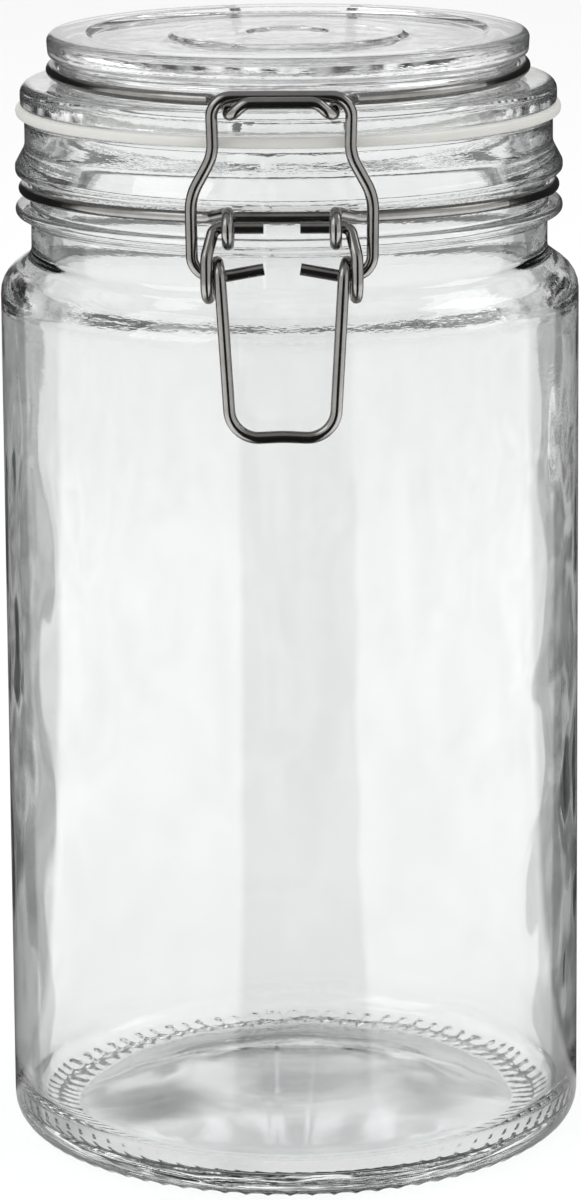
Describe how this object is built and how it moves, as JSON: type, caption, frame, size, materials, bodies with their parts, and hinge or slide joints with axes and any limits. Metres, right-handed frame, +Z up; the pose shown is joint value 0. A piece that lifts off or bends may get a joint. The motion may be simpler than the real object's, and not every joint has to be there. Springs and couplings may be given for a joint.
{
  "type": "clip-top jar",
  "caption": "Tall clear glass storage jar with a hinged glass lid, a soft gasket and a bent-wire lever clasp, shown closed and empty.",
  "frame": {"origin": "on the jar's axis, at the table", "axes": "+Z up along the jar's axis, -Y towards the clasp, +Y towards the lid's hinge"},
  "size_m": [0.1, 0.1064, 0.1937],
  "materials": {
    "jar_glass": "clear",
    "lid_glass": "clear",
    "gasket": "translucent white",
    "wire": "bright drawn wire"
  },
  "bodies": {
    "jar": {"jar": "jar_glass", "neck_wire": "wire"},
    "lid": {"lid": "lid_glass", "gasket": "gasket", "lid_wire": "wire"},
    "lever": {"lever": "wire"},
    "bail": {"bail": "wire"}
  },
  "joints": [
    {"name": "lid_hinge", "type": "hinge", "parent": "jar", "child": "lid", "pos_m": [0, 0.0493, 0.16695], "axis": [-1, 0, 0], "range_deg": [0, 175]},
    {"name": "lever_pivot", "type": "hinge", "parent": "jar", "child": "lever", "pos_m": [0, -0.0493, 0.16695], "axis": [-1, 0, 0], "range_deg": [0, 140]},
    {"name": "bail_pivot", "type": "hinge", "parent": "lever", "child": "bail", "pos_m": [0, -0.0495, 0.15902], "axis": [1, 0, 0], "range_deg": [0, 196.1]}
  ],
  "couplings": [
    {"joint": "bail_pivot", "follows": "lever_pivot", "ratio": 1.4}
  ]
}
